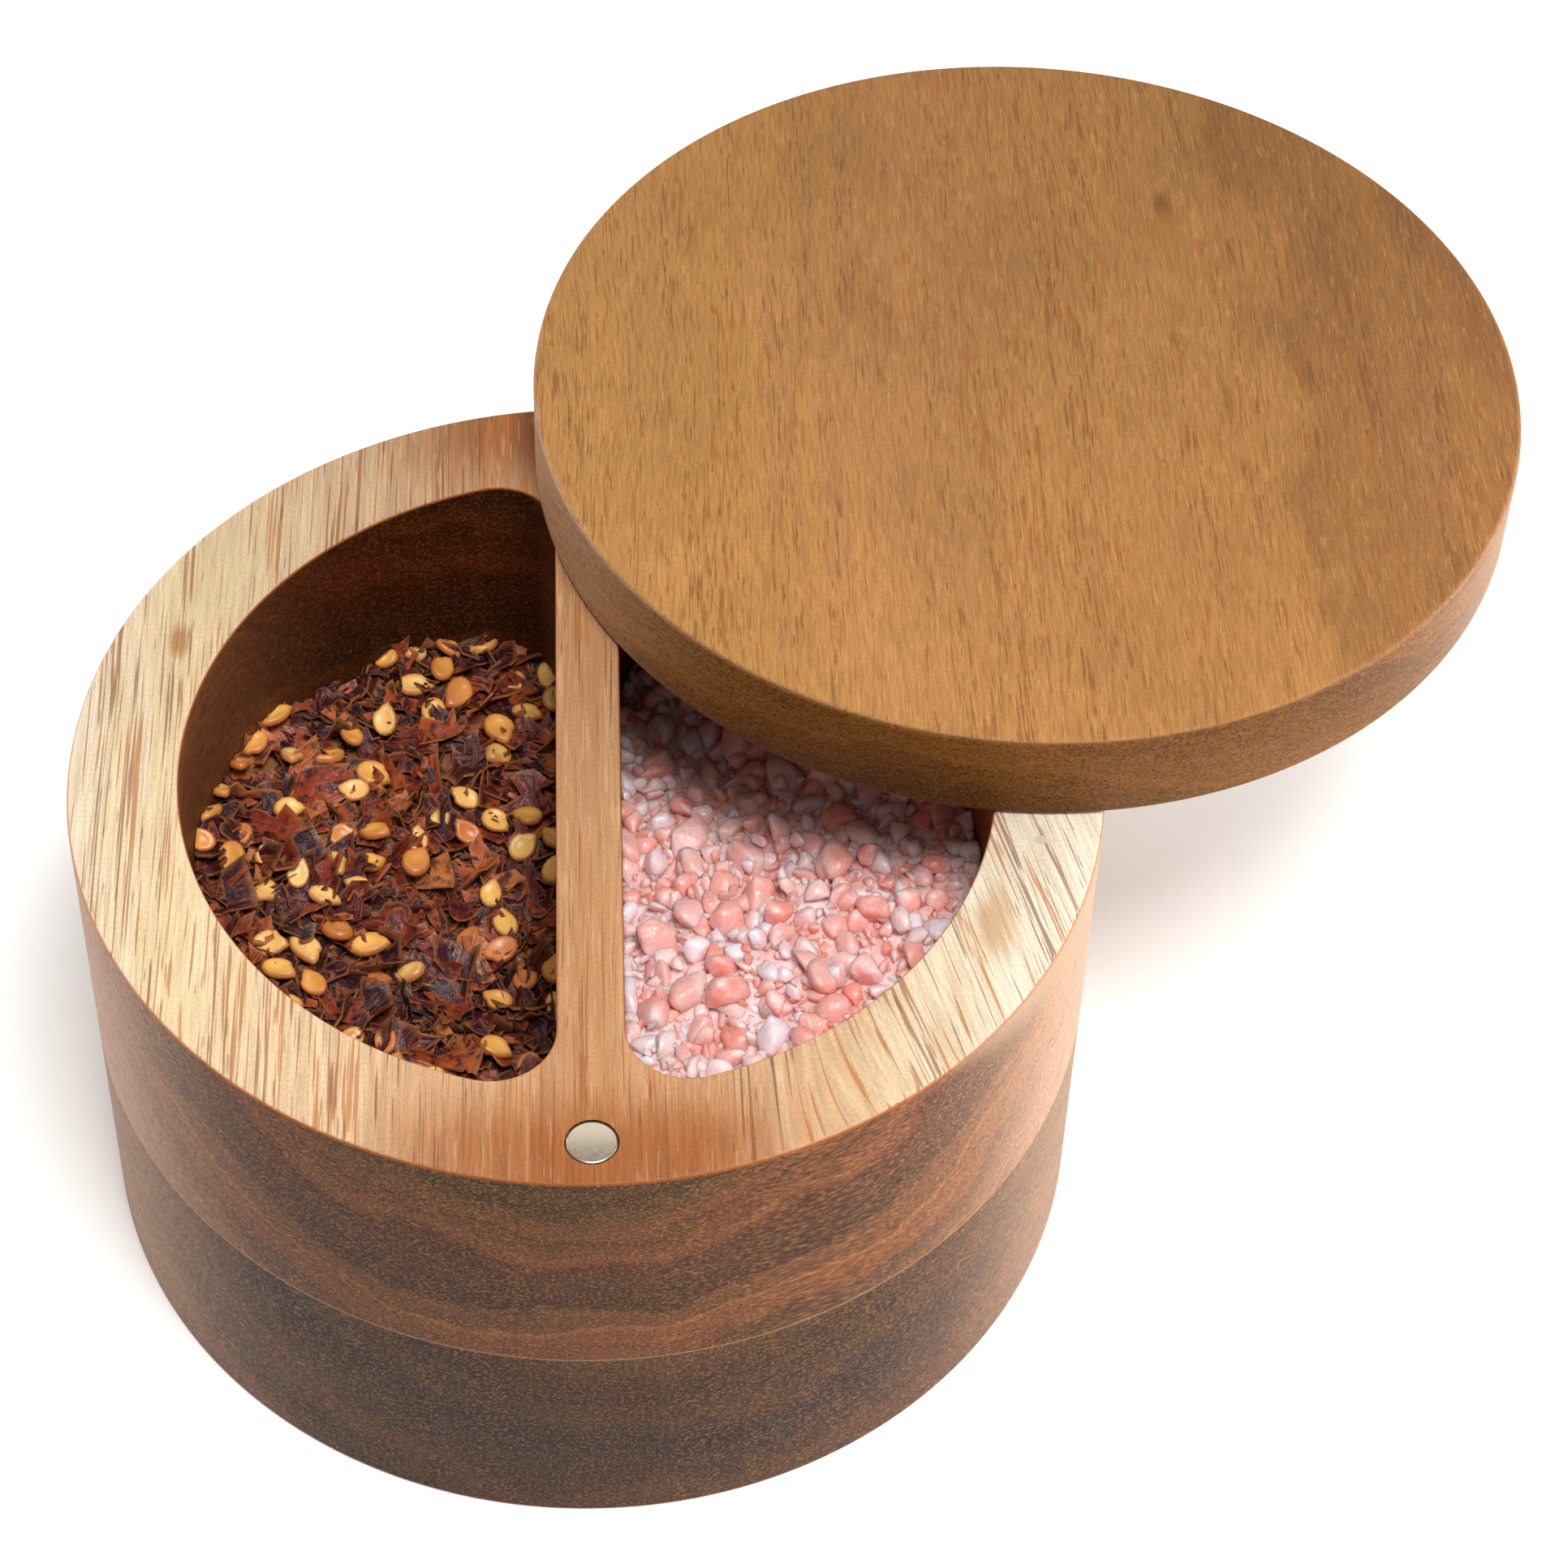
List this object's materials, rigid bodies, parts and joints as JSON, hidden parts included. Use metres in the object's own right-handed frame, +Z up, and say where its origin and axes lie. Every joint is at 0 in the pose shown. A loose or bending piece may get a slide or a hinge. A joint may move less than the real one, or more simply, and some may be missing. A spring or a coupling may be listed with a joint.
{
  "type": "spice box",
  "caption": "Round wooden spice box with D-shaped wells either side of a divider and a flat lid that swivels sideways on a rim pin, held shut by magnets.",
  "frame": {"origin": "centre of the tub's underside, where the box stands", "axes": "+Z up; the divider runs along Y, the rim's magnet is at -Y and the lid's pivot pin is at +Y"},
  "size_m": [0.1849, 0.182, 0.0822],
  "materials": {
    "base_board_wood": "oiled acacia, dark grey-brown heartwood",
    "top_board_wood": "oiled acacia, tan rim with cream sapwood at the sides",
    "lid_wood": "oiled acacia, caramel brown with a fine grain",
    "pin_steel": "plain turned steel",
    "sleeve_brass": "plain drawn brass",
    "magnet_nickel": "satin nickel plating",
    "dried_chilli": "dried red chilli flakes with yellow seeds",
    "pink_salt": "coarse pink salt crystals, cloudy and glassy"
  },
  "bodies": {
    "tub": {"tub_base_board": "base_board_wood", "tub_top_board": "top_board_wood", "pivot_pin": "pin_steel", "tub_magnet": "magnet_nickel", "rim_pin": "pin_steel", "chilli_flakes": "dried_chilli", "rock_salt": "pink_salt"},
    "lid": {"lid": "lid_wood", "lid_sleeve": "sleeve_brass", "lid_magnet": "magnet_nickel"}
  },
  "joints": [
    {"name": "lid_swivel", "type": "hinge", "parent": "tub", "child": "lid", "pos_m": [0, 0.0575, 0.069], "axis": [0, 0, 1], "range_deg": [-87, 273]}
  ]
}
